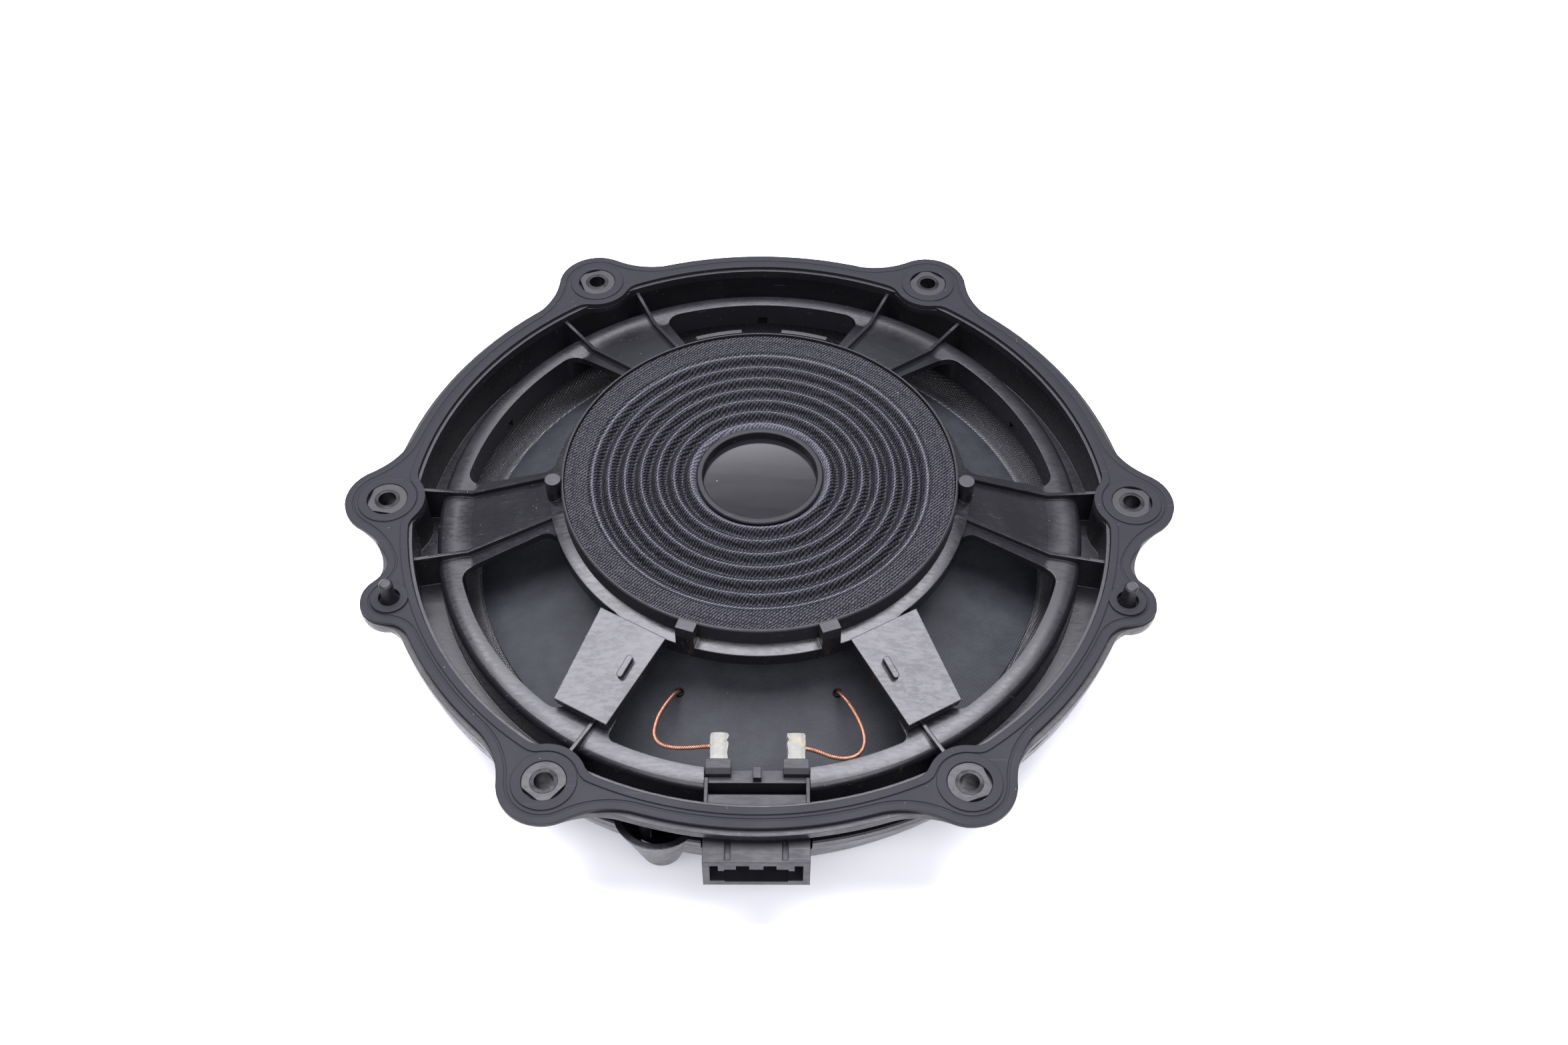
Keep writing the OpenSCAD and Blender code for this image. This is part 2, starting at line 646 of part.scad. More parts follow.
// Half roll that hangs forward between the cone's edge and the clamp
module surround() {
    mid = (roll_in_r + roll_out_r) / 2;
    a = (roll_out_r - roll_in_r) / 2;
    outer = [for (t = [180:10:360]) [mid + (a + surround_t / 2) * cos(t), roll_z + roll_depth * sin(t)]];
    inner = [for (t = [360:-10:180])
        [mid + (a - surround_t / 2) * cos(t), roll_z + (roll_depth - surround_t) * sin(t)]];
    lap_z = cone_z - cone_t;
    color([0.1, 0.1, 0.105]) rotate_extrude() polygon(concat(
        [[84.6, lap_z + 3.4 * cone_slope - 0.05], [84.6, lap_z + 3.4 * cone_slope - surround_t],
         [88.05, lap_z - surround_t]],
        outer,
        [[mid + a + surround_t / 2, flange_seat_z - surround_t],
         [surround_out_r, flange_seat_z - surround_t], [surround_out_r, flange_seat_z],
         [roll_out_r - surround_t / 2, flange_seat_z]],
        inner,
        [[88.1, roll_z - 0.3], [88.1, lap_z - 0.1 * cone_slope - 0.05]]));
}

// ---------- Connector ----------

module connector_housing() {
    side = socket_w / 2;
    inner = cavity_w / 2;
    color([0.14, 0.14, 0.15]) difference() {
        union() {
            translate([-side, -socket_y, socket_low_z]) cube([socket_w, 13, socket_top_z - socket_low_z]);
            translate([-side, -socket_y, -17]) cube([socket_w, 24, 17 + socket_top_z]);
            // Thin side walls and the shelf that cross the gutter
            both_sides() translate([side - 1, -105.4, -16]) cube([1, 9.6, 16 + carrier_z - 0.6]);
            translate([-side, -105.4, -16]) cube([socket_w, 5, 8]);
            // Carrier for the two terminals, with a bevelled block over each and a central tab
            translate([-side, -96.7, -16]) cube([socket_w, 4.1, 10]);
            both_sides() translate([7.2, 0, 0]) rotate([90, 0, 90]) linear_extrude(7)
                polygon([[-95, -8], [-95, block_z - 1.2], [-93.6, block_z], [-90.7, block_z], [-90.7, -8]]);
            translate([-1.1, -96.4, -7]) cube([2.2, 3.5, 7 + carrier_z + 0.3]);
        }
        // Socket with keying teeth on its top edge and steps on its lower edge
        difference() {
            translate([-inner, -socket_y - 1, socket_low_z + 1.7]) cube([cavity_w, 14, 8.8]);
            both_sides() {
                translate([8.6, -socket_y - 2, -10.3]) cube([1.6, 16, 4]);
                translate([5.4, -socket_y - 2, -9.5]) cube([3.3, 16, 4]);
                translate([8.5, -socket_y - 2, -18.5]) cube([5, 16, 2.7]);
            }
            translate([-1.9, -socket_y - 2, -9.5]) cube([3.8, 16, 4]);
        }
        both_sides() translate([6.9, -socket_y + 0.8, socket_top_z - 1]) cube([1.6, 10, 2]);
        // Channel behind the shelf
        translate([-side + 1, -100.4, -12]) cube([socket_w - 2, 3.7, 14]);
        for (x = [-1, 1]) translate([x * tab_x - 2.6, -94.4, -5.2]) cube([5.2, 4, 1]);
    }
}

module connector_pins() {
    color([0.75, 0.7, 0.55]) for (x = [-7.5, -2.5, 2.5, 7.5])
        translate([x - 0.75, -socket_y + 5, -13]) cube([1.5, 8, 0.8]);
}

// Tinned tab, waisted where it is crimped, that comes out of the carrier
module terminal_tab(side) {
    color([0.8, 0.78, 0.68]) translate([side * tab_x, 0, -5.1]) linear_extrude(0.8)
        polygon([[-2.5, -94.3], [2.5, -94.3], [2.5, -90.2], [2, -89.2], [2, -86.2], [2.5, -85.2],
            [2.5, -82.1], [2.2, -81.7], [-2.2, -81.7], [-2.5, -82.1], [-2.5, -85.2], [-2, -86.2],
            [-2, -89.2], [-2.5, -90.2]]);
}

module terminal_tab_left() { terminal_tab(-1); }

module terminal_tab_right() { terminal_tab(1); }

module tinsel_lead(route) {
    color([0.72, 0.45, 0.35]) swept_tube(route, lead_d);
}

module tinsel_lead_left() { tinsel_lead(left_route); }

module tinsel_lead_right() { tinsel_lead(right_route); }

// ---------- Moving parts ----------

function cone_height(r) = cone_z + (cone_r - r) * cone_slope;

module cone() {
    color([0.16, 0.18, 0.2]) difference() {
        rotate_extrude() polygon([[neck_r, cone_height(neck_r)], [cone_r, cone_z], [cone_r, cone_z - cone_t],
            [neck_r, cone_height(neck_r) - cone_t]]);
        both_sides() translate([eyelet_pos[0], eyelet_pos[1], -30]) cylinder(r = 1.4, h = 30);
    }
}

// Fillet of adhesive where the cone's neck meets the former
module cone_glue() {
    z = cone_height(neck_r);
    color([0.12, 0.12, 0.12]) rotate_extrude() polygon([
        [former_d / 2, z + 2.4], [former_d / 2 + 0.5, z + 1.6], [neck_r + 1.4, z - 0.4], [neck_r, z],
        [neck_r, z - cone_t], [former_d / 2, z - cone_t]]);
}

module lead_eyelets() {
    color([0.3, 0.3, 0.31]) both_sides()
        translate([eyelet_pos[0], eyelet_pos[1], cone_height(norm(eyelet_pos)) - 1.7]) difference() {
            cylinder(r = 1.35, h = 2.3);
            translate([0, 0, -1]) cylinder(r = 0.95, h = 5);
        }
}

// Wires from the coil along the cone's front to the eyelets
module coil_leads() {
    r1 = norm(eyelet_pos);
    a = atan2(eyelet_pos[1], eyelet_pos[0]);
    run = r1 - 1.6 - neck_r - 1;
    color([0.72, 0.45, 0.35]) both_sides() rotate([0, 0, a])
        translate([neck_r + 1, 0, cone_height(neck_r + 1) - cone_t - 0.5])
            rotate([0, 90 + atan(cone_slope), 0])
                cylinder(r = 0.3, h = run / cos(atan(cone_slope)), $fn = 16);
}

module coil_former() {
    color([0.35, 0.3, 0.22]) ring(former_d / 2 - former_t, former_d / 2, former_low_z, former_top_z);
}

module voice_coil() {
    color([0.72, 0.42, 0.28])
        ring(former_d / 2, former_d / 2 + coil_t, gap_z - coil_l / 2, gap_z + coil_l / 2);
}

// Ring that closes the former, with a step inside that holds the disc
module cap_ring() {
    bore = former_d / 2 - former_t;
    color([0.09, 0.09, 0.1]) rotate_extrude() polygon([[17.3, cap_z - 0.3], [17.6, cap_z],
        [cap_r - 0.4, cap_z], [cap_r, cap_z - 0.4], [cap_r, former_top_z], [bore, former_top_z],
        [bore, 7.6], [15.8, 7.6],
        [15.8, 8.6], [17.3, 8.6]]);
}

module dust_cap() {
    color([0.05, 0.05, 0.055]) translate([0, 0, 8.6]) cylinder(r = 17.25, h = 0.8);
}

basket();
mounting_gasket();
mounting_sleeves();
front_ring();
motor_bridge();
bridge_screws();
motor_screws();
yoke_cup();
magnet();
top_plate();
shorting_ring();
spider_ring();
spider_glue();
spider();
surround();
connector_housing();
connector_pins();
terminal_tab_left();
terminal_tab_right();
tinsel_lead_left();
tinsel_lead_right();
cone();
cone_glue();
lead_eyelets();
coil_leads();
coil_former();
voice_coil();
cap_ring();
dust_cap();
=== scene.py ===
"""Looks for a shallow car subwoofer driver that lies cone side down.

The CAD frame keeps its shapes and gets procedural materials. The woven spider, the surround, the
terminal tabs and the two copper leads are modelled here in place of their plain CAD solids. The frame's
origin is the centre of the screw holes on the gasket's face, with +Z towards the spider and -Y towards
the connector. Shapes are given in millimetres, and scaled by MM where they become Blender's metres.
"""
import json
import math

import bpy
import numpy as np
from mathutils import Matrix, Vector


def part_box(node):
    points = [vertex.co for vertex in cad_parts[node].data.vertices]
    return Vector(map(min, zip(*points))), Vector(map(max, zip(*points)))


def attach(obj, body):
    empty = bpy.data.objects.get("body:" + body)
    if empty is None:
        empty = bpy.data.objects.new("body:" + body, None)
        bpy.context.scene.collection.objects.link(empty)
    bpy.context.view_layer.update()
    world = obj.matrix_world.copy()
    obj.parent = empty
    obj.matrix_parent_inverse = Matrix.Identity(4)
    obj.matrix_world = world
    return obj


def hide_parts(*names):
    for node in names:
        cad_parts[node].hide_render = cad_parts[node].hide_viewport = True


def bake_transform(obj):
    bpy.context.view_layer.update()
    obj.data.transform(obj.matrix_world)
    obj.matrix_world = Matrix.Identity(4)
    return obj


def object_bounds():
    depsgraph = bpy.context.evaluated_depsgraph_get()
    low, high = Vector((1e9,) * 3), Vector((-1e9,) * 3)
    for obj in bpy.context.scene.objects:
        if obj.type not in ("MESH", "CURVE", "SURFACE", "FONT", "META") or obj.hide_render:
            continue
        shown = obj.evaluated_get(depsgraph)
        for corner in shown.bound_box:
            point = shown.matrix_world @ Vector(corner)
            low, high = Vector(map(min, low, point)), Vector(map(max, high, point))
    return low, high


MM = 0.001

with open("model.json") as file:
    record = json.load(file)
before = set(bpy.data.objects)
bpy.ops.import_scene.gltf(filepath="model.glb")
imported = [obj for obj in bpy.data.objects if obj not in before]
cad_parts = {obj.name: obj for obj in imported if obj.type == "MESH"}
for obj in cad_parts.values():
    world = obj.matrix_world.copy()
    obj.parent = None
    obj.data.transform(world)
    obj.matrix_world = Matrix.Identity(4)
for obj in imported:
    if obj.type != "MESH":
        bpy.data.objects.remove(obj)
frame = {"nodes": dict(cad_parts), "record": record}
cad_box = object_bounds()
scene = bpy.context.scene

# Radii of the spider's first and last crest and the number of its corrugations, as its CAD solid has them.
# Its shape, and the painted shade and highlights in its material, both follow them.
CREST_IN_R, CREST_OUT_R, WAVES = 21.1, 50.7, 6


# ---------- Camera, floor and light ----------

# Turns about X, Y and Z in degrees, from the object's axes to the camera's, and its place in millimetres
CAMERA_TURNS = (-39.6526, 0.3997, 0.0373)
CAMERA_PLACE = (4.499, -325.555, 381.941)
CAMERA_LENS, CAMERA_SENSOR, CAMERA_NEAR = 37.317, 36, 0.01

# Half the floor's side and its distance below the driver in metres, and the two tones that it is mottled in
FLOOR_HALF, FLOOR_GAP = 3.0, 0.0002
FLOOR_TONES = (0.93, 0.93, 0.935, 1), (0.96, 0.96, 0.965, 1)

ROOM_COLOUR, ROOM_STRENGTH = (0.88, 0.92, 1.0, 1), 0.5
COOL_WHITE = (0.93, 0.92, 1.0)

# Soft boxes in metres: name, place, aim, size and radiance. The sloping plates mirror the overhead one,
# the front one fills the shadows, and the back one shows in the cap's disc.
SOFT_BOXES = (
    ("overhead", (-0.06, 0.2, 1.0), (-0.06, 0.2, 0), (1.25, 0.75), 17),
    ("front_panel", (0.05, -0.75, 0.85), (0, 0, 0), (1.3, 0.6), 5.5),
    ("back_panel", (-0.12, 0.955, 0.845), (0, 0, 0), (0.6, 0.3), 8),
)


def add_camera():
    data = bpy.data.cameras.new("camera")
    data.lens, data.sensor_width, data.clip_start = CAMERA_LENS, CAMERA_SENSOR, CAMERA_NEAR
    camera = bpy.data.objects.new("camera", data)
    scene.collection.objects.link(camera)
    turn = Matrix.Identity(3)
    for degrees, axis in zip(CAMERA_TURNS, "XYZ"):
        turn = turn @ Matrix.Rotation(math.radians(degrees), 3, axis)
    place = Matrix.Translation(Vector(CAMERA_PLACE) * MM)
    camera.matrix_world = place @ turn.transposed().to_4x4()
    scene.camera = camera


def add_light(name, place, aim, size, radiance):
    """A rectangular soft box that gives off the same radiance whatever its size."""
    data = bpy.data.lights.new(name, "AREA")
    data.shape, data.size, data.size_y = "RECTANGLE", size[0], size[1]
    data.energy = radiance * math.pi * size[0] * size[1]
    data.color = COOL_WHITE
    light = bpy.data.objects.new(name, data)
    light.location = place
    light.rotation_euler = (Vector(aim) - Vector(place)).to_track_quat("-Z", "Y").to_euler()
    light.visible_camera = False
    scene.collection.objects.link(light)


def add_studio():
    """Pale floor at the driver's foot, a pale room and three soft boxes."""
    floor_z = cad_box[0].z - FLOOR_GAP
    mesh = bpy.data.meshes.new("floor")
    signs = ((-1, -1), (1, -1), (1, 1), (-1, 1))
    corners = [(x * FLOOR_HALF, y * FLOOR_HALF, floor_z) for x, y in signs]
    mesh.from_pydata(corners, [], [(0, 1, 2, 3)])
    floor = bpy.data.objects.new("floor", mesh)
    scene.collection.objects.link(floor)
    paper = Material("floor_paper", Roughness=0.7)
    grain = paper.noise(120, detail=3)
    paper.set("Base Color", paper.mix(grain, *FLOOR_TONES))
    mesh.materials.append(paper.data)

    world = bpy.data.worlds.new("room")
    world.use_nodes = True
    background = world.node_tree.nodes["Background"]
    background.inputs["Color"].default_value = ROOM_COLOUR
    background.inputs["Strength"].default_value = ROOM_STRENGTH
    scene.world = world
    for soft_box in SOFT_BOXES:
        add_light(*soft_box)
    scene.view_settings.view_transform = "Standard"


# ---------- Materials ----------


class Material:
    """A node material with short calls for the textures used here. Scales are per metre."""

    def __init__(self, name, **sockets):
        self.data = bpy.data.materials.new(name)
        self.data.use_nodes = True
        self.tree = self.data.node_tree
        self.shader = self.tree.nodes["Principled BSDF"]
        self.point = self.node("ShaderNodeTexCoord").outputs["Object"]
        for socket, value in sockets.items():
            self.set(socket.replace("_", " "), value)

    def node(self, kind, inputs=(), **settings):
        made = self.tree.nodes.new(kind)
        for key, value in settings.items():
            setattr(made, key, value)
        for key, value in dict(inputs).items():
            self.plug(made.inputs[key], value)
        return made

    def plug(self, socket, value):
        if isinstance(value, bpy.types.NodeSocket):
            self.tree.links.new(value, socket)
        else:
            socket.default_value = value

    def set(self, socket, value):
        self.plug(self.shader.inputs[socket], value)

    def maths(self, operation, a, b=0.0, clamp=False):
        return self.node("ShaderNodeMath", {0: a, 1: b}, operation=operation, use_clamp=clamp).outputs[0]

    def vector(self, operation, a, b=(0, 0, 0), out="Vector"):
        return self.node("ShaderNodeVectorMath", {0: a, 1: b}, operation=operation).outputs[out]

    def axis_distance(self):
        """Distance from the Z axis, in metres."""
        return self.vector("LENGTH", self.vector("MULTIPLY", self.point, (1, 1, 0)), out="Value")

    def wobble(self, scale, reach, **noise):
        """The object's coordinates, each point moved by up to the reach by a noise of the given scale."""
        inputs = {"Vector": self.point, "Scale": scale, **noise}
        offset = self.node("ShaderNodeTexNoise", inputs).outputs["Color"]
        moved = self.node("ShaderNodeVectorMath", {0: offset, "Scale": reach}, operation="SCALE").outputs[0]
        return self.vector("ADD", self.point, moved)

    def stretched(self, turn, scale):
        """The object's coordinates, turned about Z by an angle in degrees and scaled along each axis."""
        inputs = {"Vector": self.point, "Rotation": (0, 0, math.radians(turn)), "Scale": scale}
        return self.node("ShaderNodeMapping", inputs, vector_type="POINT").outputs[0]

    def noise(self, scale, detail=2.0, roughness=0.5, point=None):
        inputs = {"Vector": point or self.point, "Scale": scale, "Detail": detail, "Roughness": roughness}
        return self.node("ShaderNodeTexNoise", inputs).outputs["Fac"]

    def between(self, value, low, high, out_low=0.0, out_high=1.0, ends="SMOOTHSTEP"):
        """Maps a value from one range to another and holds it at both ends, which are soft or LINEAR."""
        inputs = {"Value": value, "From Min": low, "From Max": high, "To Min": out_low, "To Max": out_high}
        return self.node("ShaderNodeMapRange", inputs, interpolation_type=ends).outputs["Result"]

    def mix(self, factor, a, b):
        made = self.node("ShaderNodeMix", data_type="RGBA")
        for socket, value in ((0, factor), (6, a), (7, b)):
            self.plug(made.inputs[socket], value)
        return made.outputs[2]

    def bump(self, height, distance, strength, normal=None):
        inputs = {"Height": height, "Distance": distance, "Strength": strength}
        if normal is not None:
            inputs["Normal"] = normal
        return self.node("ShaderNodeBump", inputs).outputs["Normal"]

    def specks(self, scale, size, share):
        """Mask of small irregular dots in a share of the cells of a grid."""
        point = self.wobble(scale * 4, 0.5 / scale)
        cells = self.node("ShaderNodeTexVoronoi", {"Vector": point, "Scale": scale})
        near = self.between(cells.outputs["Distance"], size, size * 0.6)
        draw = self.node("ShaderNodeSeparateColor", {0: cells.outputs["Color"]}).outputs[0]
        return self.maths("MULTIPLY", near, self.maths("GREATER_THAN", draw, 1 - share))

    def scratches(self, turn, scale, limit):
        """Mask of fine straight lines along one direction."""
        lines = self.noise(1, 1.5, 0.6, self.stretched(turn, (scale * 0.03, scale, scale * 0.3)))
        return self.between(lines, limit, limit + 0.06)

    def worn_edge(self, radius):
        """A normal rounded over at the edges, and a mask of how far it turns there."""
        rounded = self.node("ShaderNodeBevel", {"Radius": radius}, samples=6).outputs["Normal"]
        flat = self.node("ShaderNodeNewGeometry").outputs["Normal"]
        cosine = self.vector("DOT_PRODUCT", rounded, flat, out="Value")
        return rounded, self.between(cosine, 0.995, 0.86)

    def waves(self, along):
        """Cosine stripes, where along is the number of waves per metre in X and in Y."""
        phase = self.vector("DOT_PRODUCT", self.point, (along[0], along[1], 0), out="Value")
        return self.maths("COSINE", self.maths("MULTIPLY", phase, 2 * math.pi))


def grey(value, blue=1.2):
    """A slightly violet grey for plastics, rubber and cloth."""
    return (value, value * 0.985, value * blue, 1)


# Bounds of the satin zones of the basket's plastic, in millimetres, how far its window ring is satin, and
# how much rougher satin is than polish
HIGH_Z = 10.5
FLANGE_R, FLANGE_Z = 102, -4
WINDOW_RING_R, WINDOW_RING_Z, WINDOW_RING_SHARE = 86, -4.7, 0.25
SATIN_ROUGHER = 0.22


def satin_zones(m):
    """Mask of the basket's duller plastic: high parts and flange in full, the window ring in part."""
    reach = m.axis_distance()
    rise = m.node("ShaderNodeSeparateXYZ", {0: m.point}).outputs["Z"]
    flange = m.maths("MULTIPLY", m.maths("GREATER_THAN", reach, FLANGE_R * MM),
                     m.maths("GREATER_THAN", rise, FLANGE_Z * MM))
    ring = m.maths("MULTIPLY", m.maths("GREATER_THAN", reach, WINDOW_RING_R * MM),
                   m.maths("LESS_THAN", rise, WINDOW_RING_Z * MM))
    dull = m.maths("MAXIMUM", flange, m.maths("GREATER_THAN", rise, HIGH_Z * MM))
    return m.maths("MAXIMUM", dull, m.maths("MULTIPLY", ring, WINDOW_RING_SHARE))


def moulded_plastic(name, dark, pale, roughness, gloss, dust=0.05, polished=False):
    """Moulded plastic with flow marks in its sheen, fine grain, scuffs, dust and worn edges.

    Polished plastic is rougher in its satin zones."""
    m = Material(name, Specular_IOR_Level=gloss)
    cloud = m.noise(60, 4, 0.6)
    flow = m.noise(1, 5, 0.7, m.stretched(35, (330, 980, 600)))
    flow = m.between(flow, 0.32, 0.68)
    scuff = m.maths("MAXIMUM", m.scratches(24, 1500, 0.66), m.scratches(-52, 2100, 0.68))
    scuff = m.maths("MULTIPLY", scuff, m.between(m.noise(95, 2), 0.45, 0.6))
    rounded, edge = m.worn_edge(0.0004)
    edge = m.maths("MULTIPLY", edge, m.between(m.noise(260, 2), 0.3, 0.6, 0.3, 1.0))
    speck = m.specks(900, 0.13, dust)
    colour = m.mix(cloud, grey(dark), grey(pale))
    colour = m.mix(m.maths("MULTIPLY", flow, 0.2), colour, grey(pale * 1.6))
    colour = m.mix(m.maths("MULTIPLY", scuff, 0.25), colour, grey(0.05))
    colour = m.mix(m.maths("MULTIPLY", edge, 0.25), colour, grey(0.035))
    colour = m.mix(speck, colour, (0.13, 0.12, 0.1, 1))
    m.set("Base Color", colour)
    rough = m.maths("ADD", m.between(cloud, 0.35, 0.65, -0.04, 0.04), m.between(flow, 0, 1, 0.06, -0.04))
    rough = m.maths("ADD", rough, m.maths("MULTIPLY", speck, 0.4))
    if polished:
        rough = m.maths("ADD", rough, m.maths("MULTIPLY", satin_zones(m), SATIN_ROUGHER))
    m.set("Roughness", m.maths("ADD", rough, roughness, clamp=True))
    grain = m.maths("ADD", m.maths("MULTIPLY", m.noise(5200, 2), 0.2), m.maths("MULTIPLY", flow, 0.2))
    height = m.maths("ADD", m.maths("ADD", grain, speck), m.maths("MULTIPLY", scuff, -0.5))
    m.set("Normal", m.bump(height, 0.00002, 0.5, rounded))
    return m.data


def gasket_rubber():
    """Matte grey rubber with rubbed edges, scratches and dust."""
    m = Material("gasket_rubber", Specular_IOR_Level=0.12)
    cloud, fine = m.noise(55, 4, 0.6), m.noise(900, 3, 0.6)
    rounded, edge = m.worn_edge(0.0005)
    scuff = m.maths("MAXIMUM", m.scratches(70, 1400, 0.68), m.scratches(-15, 2000, 0.7))
    speck = m.specks(800, 0.12, 0.05)
    colour = m.mix(cloud, grey(0.0085, 1.25), grey(0.013, 1.25))
    colour = m.mix(m.maths("MULTIPLY", edge, 0.3), colour, grey(0.035))
    colour = m.mix(m.maths("MULTIPLY", scuff, 0.2), colour, grey(0.05))
    colour = m.mix(speck, colour, (0.16, 0.14, 0.11, 1))
    m.set("Base Color", colour)
    m.set("Roughness", m.between(cloud, 0.3, 0.7, 0.5, 0.62))
    height = m.maths("ADD", m.maths("ADD", fine, m.noise(3500, 2)), m.maths("MULTIPLY", speck, 2))
    m.set("Normal", m.bump(height, 0.00003, 0.45, rounded))
    return m.data


# Middle radius and half width of two rings of painted shade in the spider's border, one on its rise and one
# in its dip, in millimetres
BORDER_SHADE_RINGS = ((51.8, 0.45), (56.4, 0.28))

# Waves per metre along X and Y of the ribs and of the two sets of threads in the twill
TWILL_RIBS = (870, -870)
TWILL_WARP = (1180, -115)
TWILL_WEFT = (300, 830)


def wave_painted_light(m):
    """Masks of painted shade on the spider's steep slopes and border rings, and of painted highlight on its
    crest lines.
    """
    radius = m.axis_distance()
    last = 2 * math.pi * WAVES
    turns = m.between(radius, CREST_IN_R * MM, CREST_OUT_R * MM, 0, last, ends="LINEAR")
    half_sine = m.maths("SINE", m.maths("MULTIPLY", turns, 0.5))
    steep = m.maths("ABSOLUTE", m.maths("MULTIPLY", m.maths("SINE", turns), half_sine))
    # Painted shade, darkest where the corrugations are steepest, and in two rings of the border
    dark = m.maths("MULTIPLY", steep, 1.3, clamp=True)
    for shade_ring_r, width in BORDER_SHADE_RINGS:
        away = m.maths("ABSOLUTE", m.maths("SUBTRACT", radius, shade_ring_r * MM))
        dark = m.maths("MAXIMUM", dark, m.between(away, width * MM, width * 0.3 * MM))
    # Painted highlight: thin pale lines along the crests, none past the last one
    crest_highlight = m.between(m.maths("ABSOLUTE", half_sine), 0.16, 0.05)
    inside = m.maths("LESS_THAN", radius, (CREST_OUT_R + 0.4) * MM)
    return dark, m.maths("MULTIPLY", crest_highlight, inside)


def spider_cloth():
    """Resin-stiffened black twill: slanting ribs with dark gaps, pale fibre tips and dust, with painted
    shade on its steep slopes and border rings and painted highlight on its crests.
    """
    m = Material("spider_cloth", Roughness=0.6, Specular_IOR_Level=0.08)
    dark, crest_highlight = wave_painted_light(m)
    m.point = m.wobble(160, 0.0011, Detail=1)
    threads = m.maths("ADD", m.waves(TWILL_WARP), m.waves(TWILL_WEFT))
    total = m.maths("ADD", m.maths("MULTIPLY", m.waves(TWILL_RIBS), 1.6), m.maths("MULTIPLY", threads, 0.6))
    cloud, fuzz = m.noise(90, 4, 0.6), m.noise(2600, 2, 0.6)
    total = m.maths("ADD", total, m.between(m.noise(1100, 3, 0.7), 0.3, 0.7, -1.0, 1.0))
    weave = m.between(total, -1.2, 1.9)
    colour = m.mix(weave, grey(0.0005), grey(0.033))
    colour = m.mix(m.maths("MULTIPLY", m.between(fuzz, 0.5, 0.72), weave), colour, grey(0.05))
    colour = m.mix(m.between(cloud, 0.3, 0.75, 0.0, 0.12), colour, grey(0.015))
    # Painted shade on the steep slopes and in the border rings
    colour = m.mix(m.maths("MULTIPLY", dark, 0.45), colour, grey(0.002))
    # Painted highlight along the crests
    colour = m.mix(m.maths("MULTIPLY", crest_highlight, m.between(weave, 0.2, 0.7, 0.3, 0.9)), colour, grey(0.08))
    colour = m.mix(m.specks(700, 0.12, 0.03), colour, (0.17, 0.17, 0.16, 1))
    m.set("Base Color", colour)
    height = m.maths("ADD", weave, m.maths("MULTIPLY", fuzz, 0.3))
    m.set("Normal", m.bump(height, 0.0001, 0.7))
    return m.data


def surround_cloth():
    """Coated cloth: a fine square weave under a dull skin that glints in places."""
    m = Material("surround_cloth", Sheen_Weight=0.3, Sheen_Roughness=0.4, Specular_IOR_Level=0.7)
    weave = m.maths("MULTIPLY", m.waves((1100, 350)), m.waves((-350, 1100)))
    cloud, fine = m.noise(80, 3), m.noise(1500, 2)
    crown = m.mix(cloud, grey(0.014), grey(0.024))
    m.set("Base Color", m.mix(m.between(weave, -1, 1), grey(0.004), crown))
    m.set("Roughness", m.between(fine, 0.35, 0.65, 0.3, 0.6))
    m.set("Normal", m.bump(m.maths("ADD", weave, fine), 0.00012, 0.8))
    return m.data


def cone_paper():
    """Pressed fibre with a blue-grey coat: fine slanting ribs, soft mottling and stray fibres."""
    m = Material("cone_paper", Roughness=0.62, Specular_IOR_Level=0.3)
    ribs = m.waves((1290, -780))
    mottle = m.noise(130, 4, 0.65)
    fibres = m.noise(1, 2, 0.6, m.stretched(33, (260, 1900, 260)))
    tone = m.maths("ADD", m.maths("MULTIPLY", mottle, 0.7), m.maths("MULTIPLY", fibres, 0.3))
    colour = m.mix(m.between(tone, 0.35, 0.65), (0.0055, 0.0066, 0.0084, 1), (0.0118, 0.0135, 0.0165, 1))
    colour = m.mix(m.between(ribs, -0.4, 1, 0.0, 0.3), colour, (0.018, 0.0195, 0.023, 1))
    colour = m.mix(m.specks(600, 0.1, 0.02), colour, (0.12, 0.12, 0.12, 1))
    m.set("Base Color", colour)
    height = m.maths("ADD", m.maths("MULTIPLY", ribs, 0.4), m.maths("ADD", fibres, mottle))
    m.set("Normal", m.bump(height, 0.00006, 0.5))
    return m.data


def gloss_disc():
    """Polished black plastic with a haze of wiping marks and a few specks of dust."""
    m = Material("cap_gloss")
    haze = m.noise(1, 3, 0.6, m.stretched(38, (60, 420, 60)))
    speck = m.specks(330, 0.07, 0.06)
    scuff = m.scratches(52, 800, 0.72)
    colour = m.mix(haze, grey(0.004), grey(0.0055))
    pale = m.maths("MAXIMUM", speck, m.maths("MULTIPLY", scuff, 0.3))
    m.set("Base Color", m.mix(pale, colour, grey(0.14)))
    m.set("Roughness", m.between(haze, 0.3, 0.7, 0.11, 0.13))
    m.set("Normal", m.bump(speck, 0.00001, 0.3))
    return m.data


def plated_steel(name, dark, pale, roughness, wear=0.4):
    """Plated steel with a cloudy finish, a fine grain and pale worn edges."""
    m = Material(name, Metallic=1.0)
    cloud, fine = m.noise(240, 4, 0.65), m.noise(1900, 3)
    rounded, edge = m.worn_edge(0.0003)
    colour = m.mix(m.between(cloud, 0.3, 0.7), dark, pale)
    m.set("Base Color", m.mix(m.maths("MULTIPLY", edge, wear), colour, (0.5, 0.49, 0.46, 1)))
    m.set("Roughness", m.between(cloud, 0.3, 0.7, roughness + 0.1, roughness - 0.06))
    m.set("Normal", m.bump(fine, 0.00004, 0.5, rounded))
    return m.data


